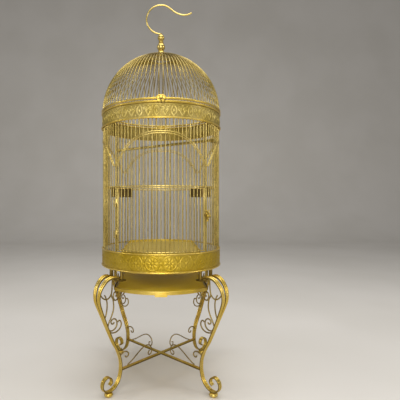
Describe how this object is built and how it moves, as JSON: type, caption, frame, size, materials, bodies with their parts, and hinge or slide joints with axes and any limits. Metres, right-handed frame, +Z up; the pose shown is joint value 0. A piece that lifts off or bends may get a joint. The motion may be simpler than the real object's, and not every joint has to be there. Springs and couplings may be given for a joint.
{
  "type": "bird cage on stand",
  "caption": "Round wire bird cage with a domed hinged lid, curved front door, feeder cups and hook, on a four-legged scrolled stand with a slide-out tray.",
  "frame": {"origin": "on the floor, on the cage's vertical axis", "axes": "+Z up, the door and the clasp face -Y"},
  "size_m": [0.4091, 0.4242, 1.2747],
  "materials": {
    "gold_wire": "pale antique gold paint, satin",
    "gold_band": "antique gold paint on embossed sheet",
    "gold_tray": "smooth gold paint, satin",
    "gold_stand": "antique gold paint with darker grooves",
    "gold_finial": "gold paint, satin",
    "grey_floor": "plain zinc-coated sheet, dull",
    "bronze_cup": "dark bronze paint"
  },
  "bodies": {
    "stand": {"leg_front_left": "gold_stand", "leg_front_right": "gold_stand", "leg_rear_left": "gold_stand", "leg_rear_right": "gold_stand", "leg_scrollwork_front_left": "gold_stand", "leg_scrollwork_front_right": "gold_stand", "leg_scrollwork_rear_left": "gold_stand", "leg_scrollwork_rear_right": "gold_stand", "foot_pads": "gold_stand", "stretcher_long_bar": "gold_stand", "stretcher_half_bars": "gold_stand", "stretcher_scrollwork": "gold_stand", "corner_brackets": "gold_stand", "cage_rest_posts": "gold_stand", "tray_rails": "gold_stand", "tray_cross_ties": "gold_stand", "tray_back_stop": "gold_stand"},
    "catch_tray": {"catch_tray_sheet": "gold_tray", "catch_tray_rolled_rim": "gold_tray", "catch_tray_front_lip": "gold_tray", "catch_tray_pull": "gold_tray"},
    "cage": {"base_band": "gold_band", "base_top_bead": "gold_band", "base_bottom_ring": "gold_band", "floor_support_ring": "gold_wire", "floor_support_bars": "gold_wire", "floor_plate": "grey_floor", "floor_pan": "gold_tray", "body_wires": "gold_wire", "ribs": "gold_wire", "mid_ring": "gold_wire", "arch_wires": "gold_wire", "upper_band": "gold_band", "upper_band_lower_ring": "gold_band", "upper_band_rim_ring": "gold_band", "perch_rod": "gold_wire", "perch_washers": "gold_wire", "door_hinge_sockets": "gold_wire", "latch_keeper": "gold_wire", "lid_hinge_brackets": "gold_wire", "lid_hinge_pin": "gold_wire", "clasp_stop_peg": "gold_wire"},
    "door": {"door_edge_bars": "gold_wire", "door_rails": "gold_wire", "door_wires": "gold_wire", "door_hinge_pintles": "gold_wire", "latch_stud": "gold_wire"},
    "door_latch": {"latch_lever": "gold_wire"},
    "lid": {"lid_ring": "gold_band", "lid_long_wires": "gold_wire", "lid_short_wires": "gold_wire", "lid_crown_ring": "gold_wire", "finial": "gold_finial", "lid_hinge_leaf": "gold_wire", "clasp_stud": "gold_wire"},
    "lid_clasp": {"lid_clasp": "gold_wire"},
    "hook": {"hanging_hook": "gold_wire", "hook_ball": "gold_finial"},
    "feeder_cup_left": {"feeder_cup_left": "bronze_cup"},
    "feeder_cup_right": {"feeder_cup_right": "bronze_cup"}
  },
  "joints": [
    {"name": "tray_slide", "type": "slide", "parent": "stand", "child": "catch_tray", "axis": [0, -1, 0], "range_m": [0, 0.24]},
    {"name": "cage_lift", "type": "slide", "parent": "stand", "child": "cage", "axis": [0, 0, 1], "range_m": [0, 0.12]},
    {"name": "door_hinge", "type": "hinge", "parent": "cage", "child": "door", "pos_m": [-0.14018, -0.14669, 0.54], "axis": [0, 0, -1], "range_deg": [0, 120]},
    {"name": "latch_turn", "type": "hinge", "parent": "door", "child": "door_latch", "pos_m": [0.13891, -0.15212, 0.548], "axis": [0.6743, -0.7385, 0], "range_deg": [0, 90]},
    {"name": "lid_hinge", "type": "hinge", "parent": "cage", "child": "lid", "pos_m": [0, 0.2083, 0.88875], "axis": [-1, 0, 0], "range_deg": [0, 100]},
    {"name": "clasp_turn", "type": "hinge", "parent": "lid", "child": "lid_clasp", "pos_m": [0, -0.2078, 0.8955], "axis": [0, -1, 0], "range_deg": [0, 100]},
    {"name": "hook_swivel", "type": "hinge", "parent": "lid", "child": "hook", "pos_m": [0, 0, 1.15], "axis": [0, 0, 1], "continuous": true},
    {"name": "cup_left_lift", "type": "slide", "parent": "cage", "child": "feeder_cup_left", "axis": [0, 0, 1], "range_m": [0, 0.05]},
    {"name": "cup_right_lift", "type": "slide", "parent": "cage", "child": "feeder_cup_right", "axis": [0, 0, 1], "range_m": [0, 0.05]}
  ]
}
